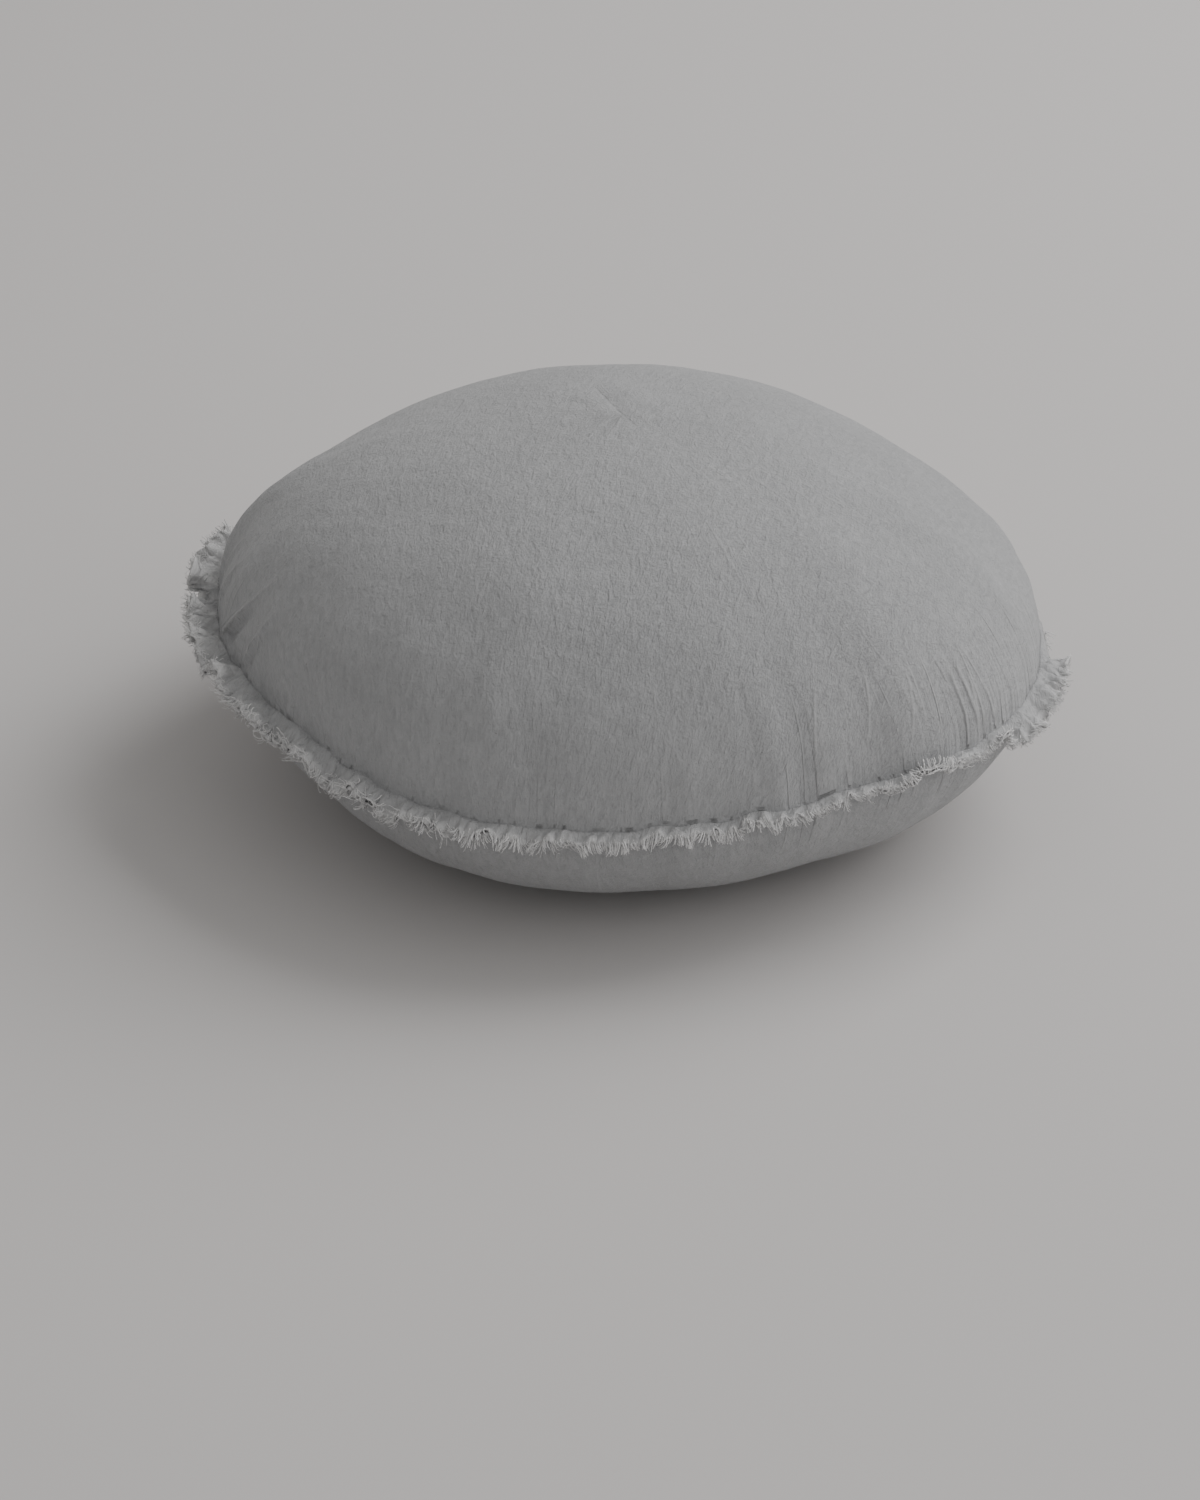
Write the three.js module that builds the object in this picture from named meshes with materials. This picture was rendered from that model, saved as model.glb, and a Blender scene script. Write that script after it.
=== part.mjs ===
import * as THREE from "three";

// A round linen cushion lying on its back. Two round panels are sewn together a little way in from their raw
// edges and filled. Outside the seam the two raw margins ruffle and fray.
// Millimetres, +Z up, the origin on the surface under the middle of the cushion. Angles are in degrees,
// counter-clockwise from +X seen from above, and the front of the cushion is at 270.

// Sewn and filled body
const SEAM_RADIUS = 215;
const SEAM_HEIGHT = 78;
const SEAM_BAND = 3;
const CROWN_HEIGHT = 126;
const CROWN_LEAN = -6;
const REST_RADIUS = 90;
const GATHER_COUNT = 30;
const GATHER_DEPTH = 0.06;
const GATHER_HUG = 6;

// Raw margins outside the seam
const PLY = 1.2;
const CLOTH_GAP = 0.3;
const FRAY_SHARE = 0.25;

// Facets
const BODY_STEPS = 120;
const CROWN_RINGS = 10;
const UNDER_RINGS = 6;
const MARGIN_STEPS = 240;
const MARGIN_SHARES = [0, 0.5, 1];

// The seam isn't a true circle: how far it stands out or in, and how far it is lifted, around the cushion
const SEAM_LINE = [
  { angle: 0, out: 3, lift: 4 },
  { angle: 30, out: 1, lift: 2 },
  { angle: 60, out: -1, lift: 0 },
  { angle: 90, out: -2, lift: -2 },
  { angle: 115, out: -1, lift: 0 },
  { angle: 130, out: 0, lift: 3 },
  { angle: 145, out: 0, lift: 8 },
  { angle: 156, out: 3, lift: 13 },
  { angle: 166, out: 8, lift: 17 },
  { angle: 173, out: 10, lift: 19 },
  { angle: 181, out: 6, lift: 17 },
  { angle: 190, out: 6, lift: 17 },
  { angle: 199, out: 2, lift: 16 },
  { angle: 208, out: -2, lift: 13 },
  { angle: 217, out: -4, lift: 12 },
  { angle: 228, out: -3, lift: 7 },
  { angle: 240, out: 0, lift: 3 },
  { angle: 250, out: 1, lift: 3 },
  { angle: 262, out: -3, lift: 1 },
  { angle: 276, out: -6, lift: 3 },
  { angle: 288, out: -5, lift: 6 },
  { angle: 303, out: -5, lift: 8 },
  { angle: 315, out: 4, lift: 9 },
  { angle: 327, out: 7, lift: 10 },
  { angle: 340, out: 6, lift: 9 },
  { angle: 350, out: 3, lift: 6 },
];

// The folds of the margins, one row a fold: how far the frayed edge reaches from the seam, how far it rises
// above the seam, and how far the edges of the two plies part
const FOLDS = [
  { angle: 0, reach: 9, rise: -12, part: 1 },
  { angle: 12, reach: 9, rise: -12, part: 1 },
  { angle: 16, reach: 12, rise: -11, part: 1 },
  { angle: 20, reach: 9, rise: -12, part: 1 },
  { angle: 27, reach: 13, rise: -9, part: 2 },
  { angle: 33, reach: 17, rise: 3, part: 2 },
  { angle: 39, reach: 17, rise: -5, part: 1 },
  { angle: 46, reach: 17, rise: 6, part: 3 },
  { angle: 53, reach: 18, rise: -5, part: 1 },
  { angle: 60, reach: 17, rise: 5, part: 3 },
  { angle: 67, reach: 17, rise: -6, part: 1 },
  { angle: 74, reach: 17, rise: 7, part: 3 },
  { angle: 81, reach: 18, rise: -4, part: 1 },
  { angle: 88, reach: 17, rise: 5, part: 3 },
  { angle: 95, reach: 17, rise: -6, part: 1 },
  { angle: 102, reach: 17, rise: 6, part: 3 },
  { angle: 108, reach: 17, rise: -5, part: 1 },
  { angle: 115, reach: 16, rise: 7, part: 3 },
  { angle: 122, reach: 18, rise: -4, part: 1 },
  { angle: 129, reach: 17, rise: 6, part: 3 },
  { angle: 135, reach: 16, rise: -3, part: 1 },
  { angle: 142, reach: 15, rise: 8, part: 1 },
  { angle: 147, reach: 16, rise: 3, part: 1 },
  { angle: 151, reach: 13, rise: 11, part: 1 },
  { angle: 155, reach: 16, rise: 5, part: 1 },
  { angle: 159, reach: 13, rise: 12, part: 1 },
  { angle: 162, reach: 17, rise: 6, part: 1 },
  { angle: 166, reach: 15, rise: 13, part: 1 },
  { angle: 172, reach: 18, rise: 8, part: 1 },
  { angle: 175, reach: 18, rise: 10, part: 1 },
  { angle: 179, reach: 11, rise: -8, part: 1 },
  { angle: 184, reach: 18, rise: 9, part: 1 },
  { angle: 188, reach: 19, rise: 2, part: 1 },
  { angle: 192, reach: 18, rise: 8, part: 1 },
  { angle: 196, reach: 19, rise: -3, part: 1 },
  { angle: 199, reach: 18, rise: 5, part: 1 },
  { angle: 204, reach: 18, rise: -7, part: 1 },
  { angle: 208, reach: 19, rise: 2, part: 1 },
  { angle: 213, reach: 15, rise: -11, part: 1 },
  { angle: 219, reach: 19, rise: 1, part: 1 },
  { angle: 225, reach: 14, rise: -12, part: 1 },
  { angle: 231, reach: 19, rise: 1, part: 2 },
  { angle: 236, reach: 13, rise: -11, part: 1 },
  { angle: 240, reach: 16, rise: -1, part: 3 },
  { angle: 244, reach: 12, rise: -9, part: 1 },
  { angle: 249, reach: 13, rise: -2, part: 3 },
  { angle: 254, reach: 11, rise: -8, part: 1 },
  { angle: 261, reach: 11, rise: -3, part: 2 },
  { angle: 267, reach: 9, rise: -6, part: 1 },
  { angle: 275, reach: 10, rise: -3, part: 2 },
  { angle: 282, reach: 9, rise: -5, part: 1 },
  { angle: 289, reach: 10, rise: -3, part: 2 },
  { angle: 296, reach: 9, rise: -5, part: 1 },
  { angle: 302, reach: 10, rise: -1, part: 2 },
  { angle: 307, reach: 11, rise: -2, part: 1 },
  { angle: 311, reach: 10, rise: 7, part: 1 },
  { angle: 318, reach: 11, rise: -3, part: 1 },
  { angle: 322, reach: 9, rise: -5, part: 1 },
  { angle: 326, reach: 13, rise: -4, part: 1 },
  { angle: 329, reach: 10, rise: -14, part: 1 },
  { angle: 333, reach: 17, rise: -6, part: 2 },
  { angle: 336, reach: 10, rise: -14, part: 1 },
  { angle: 340, reach: 17, rise: -5, part: 2 },
  { angle: 344, reach: 10, rise: -14, part: 1 },
  { angle: 348, reach: 17, rise: -4, part: 2 },
  { angle: 353, reach: 10, rise: -13, part: 1 },
];

const linen = { color: 0xa9adb2, roughness: 0.95, metalness: 0 };
const frayed = { color: 0xb9bcc0, roughness: 1, metalness: 0 };

// A column of a table around the cushion, eased from each row to the next and closed over the last row
function around(rows, column, angle) {
  const turn = THREE.MathUtils.euclideanModulo(angle, 360);
  const after = rows.findIndex((row) => row.angle > turn);
  const next = after < 0 ? { ...rows[0], angle: 360 } : rows[after];
  const last = rows[after < 0 ? rows.length - 1 : after - 1];
  return THREE.MathUtils.lerp(
    last[column],
    next[column],
    THREE.MathUtils.smoothstep(turn, last.angle, next.angle),
  );
}

// A column of the seam's line, straight from each step of the body to the next, so the margins follow its facets
function alongSeam(column, angle) {
  const step = (angle * BODY_STEPS) / 360;
  const first = Math.floor(step);
  const from = around(SEAM_LINE, column, (first * 360) / BODY_STEPS);
  const to = around(SEAM_LINE, column, ((first + 1) * 360) / BODY_STEPS);
  return THREE.MathUtils.lerp(from, to, step - first);
}

// Turns a profile about the upright axis, then moves every vertex to where place(radius, angle, height) says
function shapedLathe(profile, steps, place) {
  const geometry = new THREE.LatheGeometry(profile, steps);
  geometry.rotateX(Math.PI / 2);
  const position = geometry.getAttribute("position");
  const vertex = new THREE.Vector3();
  for (let i = 0; i < position.count; i++) {
    vertex.fromBufferAttribute(position, i);
    const angle = THREE.MathUtils.radToDeg(Math.atan2(vertex.y, vertex.x));
    const moved = place(Math.hypot(vertex.x, vertex.y), angle, vertex.z);
    position.setXYZ(i, moved.x, moved.y, moved.z);
  }
  geometry.deleteAttribute("normal");
  geometry.deleteAttribute("uv");
  return geometry;
}

function polar(radius, angle, height) {
  const turn = THREE.MathUtils.degToRad(angle);
  return new THREE.Vector3(radius * Math.cos(turn), radius * Math.sin(turn), height);
}

// The profile of the filled body, from the flat rest out and up to the seam and in over the crown
function bodyProfile() {
  const points = [new THREE.Vector2(0, 0)];
  for (let ring = 0; ring <= UNDER_RINGS; ring++) {
    const slope = (ring / UNDER_RINGS) * (Math.PI / 2);
    const radius = THREE.MathUtils.lerp(REST_RADIUS, SEAM_RADIUS, Math.sin(slope));
    const height = (SEAM_HEIGHT - SEAM_BAND / 2) * (1 - Math.cos(slope));
    points.push(new THREE.Vector2(radius, height));
  }
  for (let ring = 0; ring <= CROWN_RINGS; ring++) {
    const slope = (ring / CROWN_RINGS) * (Math.PI / 2);
    const height = SEAM_HEIGHT + SEAM_BAND / 2 + CROWN_HEIGHT * Math.sin(slope);
    points.push(new THREE.Vector2(SEAM_RADIUS * Math.cos(slope), height));
  }
  return points;
}

// Follows the seam's line and lean of the crown, and draws the sides in between the gathers along the seam
function placeBody(radius, angle, height) {
  const share = radius / SEAM_RADIUS;
  const out = around(SEAM_LINE, "out", angle);
  const lift = around(SEAM_LINE, "lift", angle);
  const wave = (1 - Math.cos(THREE.MathUtils.degToRad(angle * GATHER_COUNT))) / 2;
  const drawn = 1 - GATHER_DEPTH * wave * share ** GATHER_HUG;
  const place = polar(radius + out * share ** 3, angle, height);
  if (height > SEAM_HEIGHT) {
    const top = SEAM_HEIGHT + SEAM_BAND / 2;
    place.x += CROWN_LEAN * (1 - share ** 2);
    place.z = top + (height - top) * drawn + lift * share ** 3;
  } else {
    place.z = height * (1 + lift / (SEAM_HEIGHT - SEAM_BAND / 2));
  }
  return place;
}

// A point of one ply of the raw margin: share is 0 at the seam and 1 at the frayed edge, side is 1 for the
// upper ply and -1 for the lower, and depth is how far the point lies from the face that meets the other ply
function placeMargin(share, step, side, depth) {
  const angle = (step / MARGIN_STEPS) * 360;
  const along = step % 2 === 1 && share === 1 ? 1 - FRAY_SHARE : share;
  const seam = SEAM_RADIUS + CLOTH_GAP + alongSeam("out", angle);
  const level = SEAM_HEIGHT + alongSeam("lift", angle);
  const rise = around(FOLDS, "rise", angle) * along ** 2;
  const part = (around(FOLDS, "part", angle) * along + CLOTH_GAP) / 2;
  const reach = around(FOLDS, "reach", angle) * along;
  return polar(seam + reach, angle, level + rise + side * (part + depth));
}

// One ply of the raw margin: a closed strip around the seam, its outer edge a comb of frayed ends, each tooth
// FRAY_SHARE of its width. Both faces are split along the same diagonals, so the gap between the plies stays even.
function margin(side) {
  const depths = side > 0 ? [0, PLY] : [PLY, 0];
  const last = MARGIN_SHARES.length - 1;
  const positions = [];
  const index = [];
  const corner = (step, face, column) => ((step % MARGIN_STEPS) * 2 + face) * MARGIN_SHARES.length + column;
  const quad = (a, b, c, d) => index.push(a, b, c, a, c, d);
  for (let step = 0; step < MARGIN_STEPS; step++) {
    const next = step + 1;
    for (const depth of depths) {
      for (const share of MARGIN_SHARES) {
        positions.push(...placeMargin(share, step, side, depth));
      }
    }
    for (let inner = 0; inner < last; inner++) {
      const outer = inner + 1;
      quad(corner(step, 1, inner), corner(step, 1, outer), corner(next, 1, outer), corner(next, 1, inner));
      quad(corner(step, 0, inner), corner(next, 0, inner), corner(next, 0, outer), corner(step, 0, outer));
    }
    quad(corner(step, 0, last), corner(next, 0, last), corner(next, 1, last), corner(step, 1, last));
    quad(corner(step, 1, 0), corner(next, 1, 0), corner(next, 0, 0), corner(step, 0, 0));
  }
  const geometry = new THREE.BufferGeometry();
  geometry.setAttribute("position", new THREE.Float32BufferAttribute(positions, 3));
  geometry.setIndex(index);
  return geometry;
}

function named(name, geometry, finish) {
  const mesh = new THREE.Mesh(geometry, new THREE.MeshStandardMaterial(finish));
  mesh.name = name;
  return mesh;
}

const cushion = new THREE.Group();
cushion.add(named("cushion", shapedLathe(bodyProfile(), BODY_STEPS, placeBody), linen));
cushion.add(named("upper_frill", margin(1), frayed));
cushion.add(named("lower_frill", margin(-1), frayed));

export default cushion;
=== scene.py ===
"""The looks of a round linen cushion: two panels sewn together near their raw edges and filled.

Metres, +Z up, the origin on the surface under the middle of the cushion. Angles around the cushion are in
degrees, counter-clockwise from +X seen from above, and the front of the cushion is at 270.
"""
import math

import bpy
import numpy as np
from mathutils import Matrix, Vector


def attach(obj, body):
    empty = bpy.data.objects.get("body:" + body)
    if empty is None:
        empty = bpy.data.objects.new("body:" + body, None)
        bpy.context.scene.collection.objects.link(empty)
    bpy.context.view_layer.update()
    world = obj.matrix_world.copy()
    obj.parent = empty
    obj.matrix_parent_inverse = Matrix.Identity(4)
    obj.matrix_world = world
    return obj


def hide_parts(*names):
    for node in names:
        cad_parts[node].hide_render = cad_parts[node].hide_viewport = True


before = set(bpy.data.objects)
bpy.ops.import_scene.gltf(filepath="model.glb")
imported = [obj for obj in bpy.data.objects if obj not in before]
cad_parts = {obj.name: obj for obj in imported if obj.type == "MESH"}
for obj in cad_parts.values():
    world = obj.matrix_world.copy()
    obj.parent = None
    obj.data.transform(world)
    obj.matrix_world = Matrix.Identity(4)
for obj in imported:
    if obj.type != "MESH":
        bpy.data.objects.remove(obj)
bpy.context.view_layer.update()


def table(columns, rows):
    """Rows of numbers under named columns."""
    return np.array(rows, dtype=[(column, float) for column in columns.split()])


# Sewn and filled body
SEAM_RADIUS = 0.215
SEAM_HEIGHT = 0.078
CROWN_HEIGHT = 0.1275
CROWN_LEAN = -0.006
REST_RADIUS = 0.090

# The two round panels as cut: the seam runs SEWN_RADIUS from the middle of the cloth, its raw edge is
# further out
SEWN_RADIUS = 0.280
CUT_RADIUS = 0.300
CUT_WEAVE_RADIUS = 0.294

# The seam isn't a true circle: how far it stands out or in, how far it is lifted, and how far the flank of
# the crown above it sinks
SEAM_LINE = table("angle out lift sink", [
    (0, 0.003, 0.004, 0.004),
    (30, 0.001, 0.002, 0.009),
    (60, -0.001, 0.000, 0.006),
    (90, -0.002, -0.002, 0.003),
    (115, -0.001, 0.000, 0.002),
    (130, 0.000, 0.003, 0.002),
    (145, 0.000, 0.008, 0.004),
    (156, 0.003, 0.013, 0.006),
    (166, 0.008, 0.017, 0.005),
    (173, 0.010, 0.019, 0.001),
    (181, 0.006, 0.017, 0.000),
    (190, 0.006, 0.017, 0.000),
    (199, 0.002, 0.016, 0.000),
    (208, -0.002, 0.013, 0.000),
    (217, -0.004, 0.012, 0.000),
    (228, -0.003, 0.007, 0.000),
    (240, 0.000, 0.003, 0.000),
    (250, 0.001, 0.003, 0.000),
    (262, -0.003, 0.001, 0.000),
    (276, -0.006, 0.003, 0.000),
    (288, -0.005, 0.006, 0.000),
    (303, -0.005, 0.008, 0.000),
    (315, 0.004, 0.009, 0.000),
    (327, 0.007, 0.010, 0.001),
    (340, 0.006, 0.009, 0.001),
    (350, 0.003, 0.006, 0.002),
])

# The folds of the raw margins, in degrees: how steeply they leave the seam, how much further they have
# turned up at the end of the weave, and how far the two plies open
FOLDS = table("angle slope curl part", [
    (0, -80, -5, 6),
    (5, -80, 0, 6),
    (12, -82, 0, 6),
    (16, -58, 10, 8),
    (20, -82, 0, 6),
    (27, -50, -10, 10),
    (33, 10, -10, 12),
    (39, -20, -15, 10),
    (46, 20, 5, 18),
    (53, -15, -20, 10),
    (60, 15, 10, 16),
    (67, -20, -10, 10),
    (74, 25, 0, 18),
    (81, -10, -20, 8),
    (88, 15, 15, 18),
    (95, -20, -15, 10),
    (102, 20, 5, 16),
    (108, -15, -20, 10),
    (115, 25, 10, 20),
    (122, -10, -15, 8),
    (129, 20, 5, 18),
    (135, -10, -10, 10),
    (142, 28, 5, 8),
    (147, 14, -10, 6),
    (151, 40, 0, 6),
    (154.5, 20, -5, 4),
    (158, 44, 0, 6),
    (161.5, 18, -5, 4),
    (165, 44, 0, 6),
    (169, 42, -10, 5),
    (172, 26, -5, 3),
    (175, 32, -10, 5),
    (177, 14, -10, 4),
    (178.7, -50, 0, 3),
    (180.4, 14, -10, 4),
    (184, 28, -10, 5),
    (187.5, 8, -5, 3),
    (191.5, 24, -15, 5),
    (195, -6, -10, 3),
    (199, 18, -20, 6),
    (203.5, -20, -15, 4),
    (208, 10, -25, 8),
    (213.5, -38, -10, 4),
    (219, 8, -35, 10),
    (225, -42, -15, 4),
    (231, 6, -40, 12),
    (236, -40, -20, 4),
    (240, 12, -50, 18),
    (244, -34, -30, 4),
    (249, 8, -55, 16),
    (254, -32, -35, 4),
    (261, -4, -60, 10),
    (267, -22, -50, 6),
    (275, -4, -65, 10),
    (282, -20, -50, 6),
    (289, -2, -65, 12),
    (296, -18, -55, 6),
    (302, 0, -60, 10),
    (307, -10, -40, 8),
    (311, 32, 0, 8),
    (314.5, 20, -20, 8),
    (318, -15, -40, 8),
    (322, -30, -40, 6),
    (325.5, -8, -30, 10),
    (328.5, -60, -10, 6),
    (332.5, -18, -25, 12),
    (336, -62, -10, 6),
    (340, -14, -25, 14),
    (343.5, -58, -10, 6),
    (347, -8, -20, 14),
    (350, -12, -20, 10),
    (353, -64, -10, 6),
    (357, -82, -5, 5),
])

# How the edge behaves around the cushion: the width of the margin's weave, the swing of its small ruffles
# in degrees, how far its folds slant by their outer end in degrees, the length of its loose threads, how
# far they lean along the edge and roll up (or down, below 0) in radians, how curly they are, the depth of
# the puckers that the seam pulls into the panels, how strong the fine wrinkles between them are, how long
# both are, and how much of the folds runs on into the panels
EDGE = table("angle weave ruffle slant thread lean roll curl pucker wrinkle run gather", [
    (0, 0.0130, 5, 0, 0.0036, 0.0, -0.3, 0.8, 0.00020, 0.5, 0.022, 0.2),
    (40, 0.0140, 9, 2, 0.0045, 0.0, -0.4, 0.8, 0.00020, 0.5, 0.022, 0.2),
    (90, 0.0140, 9, 2, 0.0045, 0.0, -0.4, 0.8, 0.00020, 0.5, 0.020, 0.2),
    (140, 0.0130, 8, 0, 0.0036, 0.0, 0.2, 0.9, 0.00020, 0.5, 0.024, 0.3),
    (157, 0.0140, 8, 0, 0.0032, 0.0, 0.5, 1.2, 0.00030, 0.8, 0.030, 0.4),
    (166, 0.0170, 8, 0, 0.0032, 0.0, 0.6, 1.3, 0.00035, 1.0, 0.034, 0.5),
    (190, 0.0160, 8, 1, 0.0036, 0.3, 0.8, 1.3, 0.00035, 1.0, 0.040, 0.5),
    (205, 0.0150, 6, 4, 0.0044, 0.7, 1.4, 1.0, 0.00030, 0.8, 0.034, 0.3),
    (225, 0.0140, 5, 7, 0.0055, 0.9, 2.0, 0.8, 0.00010, 0.4, 0.020, 0.1),
    (240, 0.0115, 6, 5, 0.0055, 0.7, 1.4, 0.8, 0.00010, 0.4, 0.016, 0.2),
    (255, 0.0078, 6, 3, 0.0050, 0.3, -0.2, 0.7, 0.00010, 0.4, 0.018, 0.3),
    (280, 0.0060, 6, 2, 0.0046, 0.0, -0.4, 0.6, 0.00010, 0.5, 0.024, 0.3),
    (300, 0.0050, 6, 0, 0.0046, 0.0, 1.8, 0.6, 0.00008, 0.9, 0.034, 0.2),
    (313, 0.0072, 5, 0, 0.0050, 0.0, 2.2, 0.5, 0.00008, 1.2, 0.040, 0.2),
    (323, 0.0052, 6, 0, 0.0046, 0.0, 2.0, 0.5, 0.00010, 1.4, 0.040, 0.2),
    (332, 0.0155, 5, 0, 0.0024, 0.0, 0.5, 0.8, 0.00010, 1.4, 0.040, 0.3),
    (350, 0.0150, 5, 0, 0.0024, 0.0, 0.5, 0.8, 0.00010, 1.2, 0.034, 0.3),
])

# The main creases of the upper panel in the flat cloth: from one point to another, how far the line bows to
# its left, how wide and how high it is (a trough is below zero), and how much of it fades out at either end
CREASE_COLUMNS = "from_x from_y to_x to_y bow width height fade_in fade_out"
CREASES = table(CREASE_COLUMNS, [
    (-0.268, -0.058, -0.200, -0.078, -0.0050, 0.0020, 0.0028, 0.1, 0.7),
    (-0.268, -0.065, -0.206, -0.081, -0.0050, 0.0040, -0.0038, 0.1, 0.8),
    (-0.258, -0.099, -0.202, -0.095, -0.0030, 0.0020, 0.0016, 0.1, 0.7),
    (-0.256, -0.104, -0.206, -0.100, -0.0030, 0.0034, -0.0018, 0.1, 0.8),
    (-0.262, -0.025, -0.222, -0.040, 0.0000, 0.0030, 0.0011, 0.1, 0.6),
    (-0.262, -0.033, -0.224, -0.047, 0.0000, 0.0035, -0.0013, 0.1, 0.6),
    (-0.262, 0.006, -0.218, -0.016, 0.0000, 0.0030, 0.0009, 0.1, 0.6),
    (-0.262, -0.002, -0.220, -0.023, 0.0000, 0.0035, -0.0010, 0.1, 0.6),
    (-0.020, 0.058, 0.014, -0.026, -0.0030, 0.0040, -0.0009, 0.5, 0.4),
    (-0.010, 0.062, 0.024, -0.010, -0.0030, 0.0050, 0.0006, 0.5, 0.5),
    (0.054, -0.175, 0.082, -0.255, -0.0030, 0.0050, -0.0004, 0.5, 0.4),
    (0.064, -0.175, 0.090, -0.255, -0.0030, 0.0055, 0.0003, 0.5, 0.4),
    (0.079, -0.170, 0.100, -0.240, -0.0020, 0.0050, -0.0003, 0.5, 0.5),
    (-0.074, -0.160, -0.079, -0.262, 0.0000, 0.0070, 0.0007, 0.5, 0.3),
    (-0.056, -0.170, -0.062, -0.262, 0.0000, 0.0060, -0.0005, 0.5, 0.3),
])

# Thin pressed creases of the upper panel, too fine for its mesh, in the same columns
THIN_CREASES = table(CREASE_COLUMNS, [
    (-0.272, -0.057, -0.196, -0.079, -0.0050, 0.0018, 0.0012, 0.05, 0.6),
    (-0.259, -0.098, -0.200, -0.095, -0.0030, 0.0016, 0.0008, 0.05, 0.6),
    (-0.262, -0.025, -0.222, -0.040, 0.0000, 0.0016, 0.0004, 0.10, 0.6),
    (-0.262, 0.006, -0.218, -0.016, 0.0000, 0.0016, 0.0004, 0.10, 0.6),
    (-0.020, 0.058, 0.014, -0.026, -0.0030, 0.0016, -0.0003, 0.40, 0.4),
    (0.056, -0.178, 0.082, -0.255, -0.0030, 0.0018, -0.0002, 0.40, 0.4),
    (0.104, -0.190, 0.114, -0.236, -0.0020, 0.0016, 0.0004, 0.30, 0.3),
    (0.128, -0.170, 0.146, -0.220, 0.0020, 0.0016, 0.0004, 0.30, 0.3),
    (0.150, -0.160, 0.172, -0.206, 0.0020, 0.0016, 0.0004, 0.30, 0.3),
])

# Facets
PANEL_QUADS = 110
PROFILE_STEPS = 2000
RIM_FINER = 0.4
MARGIN_STEPS = 1800
MARGIN_ROWS = 14

# Lengths and shares that differ by less than this count as equal
TINY = 1e-9

# One seed for each uneven thing, so that every run gives the same cushion. Where the two plies or panels
# differ, the upper one is 1 and the lower one is -1.
SEEDS = {
    "seam out": 11,
    "seam lift": 12,
    "first ripple": 4,
    "puckers": {1: 21, -1: 22},
    "swells": 31,
    "crumples": 32,
    "ruffles": 41,
    "crimps": 42,
    "own ruffles": {1: 44, -1: 43},
    "edge": {1: 46, -1: 44},
    "rumples": 46,
    "threads": {1: 51, -1: 52},
    "leans": 61,
    "bends": 62,
    "rolls": 63,
}


# Tables and waves around the cushion
WAVE_SIZES = (0.4, 1.0)


def around(rows, column, degrees):
    """A column of a table around the cushion, eased from each row to the next and closed over the last."""
    stops = np.append(rows["angle"], 360.0)
    values = np.append(rows[column], rows[column][0])
    turn = np.mod(degrees, 360.0)
    row = np.clip(np.searchsorted(stops, turn, side="right") - 1, 0, len(rows) - 1)
    share = (turn - stops[row]) / (stops[row + 1] - stops[row])
    return values[row] + (values[row + 1] - values[row]) * eased(share)


def eased(share):
    """The smooth step 3t² - 2t³, held at 0 below 0 and at 1 above 1."""
    share = np.clip(share, 0, 1)
    return share * share * (3 - 2 * share)


def bell(offset):
    """A rounded bump: 1 in the middle, and e to the power of minus the offset squared beside it."""
    return np.exp(-(offset ** 2))


def ripple(degrees, counts, seed):
    """A wave that closes after one turn: the sum of one cosine for each count of waves a turn, with seeded
    sizes and phases, scaled so that its root mean square is about 1."""
    draw = np.random.default_rng(seed)
    turn = np.radians(degrees)
    total = np.zeros_like(turn)
    power = 0.0
    for count in counts:
        size = draw.uniform(*WAVE_SIZES)
        total += size * np.cos(count * turn + draw.uniform(0, math.tau))
        power += size * size / 2
    return total / math.sqrt(power)


def swell(x, y, wavelengths, seed):
    """A soft uneven surface over the flat cloth: the sum of one plane wave for each wavelength, with seeded
    directions and phases, scaled so that its root mean square is about 1."""
    draw = np.random.default_rng(seed)
    total = np.zeros_like(x)
    for wavelength in wavelengths:
        heading = draw.uniform(0, math.tau)
        across = x * math.cos(heading) + y * math.sin(heading)
        total += np.cos(math.tau * across / wavelength + draw.uniform(0, math.tau))
    return total / math.sqrt(len(wavelengths) / 2)


def polar(radius, turn, height):
    """Points from how far out they are, their angle in radians and their height."""
    return np.stack(np.broadcast_arrays(radius * np.cos(turn), radius * np.sin(turn), height), -1)


# The seam, which the body and both margins follow. Its line dies out slowly up and down the panels, and its
# small waves and the folds of the margins die out quickly.
LINE_HUG = 2
WOBBLE_COUNTS = range(18, 60, 4)
WOBBLE_OUT = 0.0004
WOBBLE_LIFT = 0.0006
WOBBLE_HUG = 14
GATHER_OUT = 0.0015
GATHER_LIFT = 0.0012
FULL_SWING = 40.0
LEVEL_OFFSETS = range(-9, 10, 3)


def fold_wave(degrees):
    """How far the margins' folds stand above or below the folds around them, about 1 on a high ridge."""
    level = sum(around(FOLDS, "slope", degrees + offset) for offset in LEVEL_OFFSETS) / len(LEVEL_OFFSETS)
    return (around(FOLDS, "slope", degrees) - level) / FULL_SWING


def seam_radius(degrees, inwards=1.0):
    gathers = GATHER_OUT * around(EDGE, "gather", degrees) * fold_wave(degrees)
    waves = WOBBLE_OUT * ripple(degrees, WOBBLE_COUNTS, SEEDS["seam out"]) + gathers
    line = around(SEAM_LINE, "out", degrees) * inwards ** LINE_HUG
    return SEAM_RADIUS + line + waves * inwards ** WOBBLE_HUG


def seam_lift(degrees, inwards=1.0):
    gathers = GATHER_LIFT * around(EDGE, "gather", degrees) * fold_wave(degrees)
    waves = WOBBLE_LIFT * ripple(degrees, WOBBLE_COUNTS, SEEDS["seam lift"]) + gathers
    return around(SEAM_LINE, "lift", degrees) + waves * inwards ** WOBBLE_HUG


# Meshes

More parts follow.
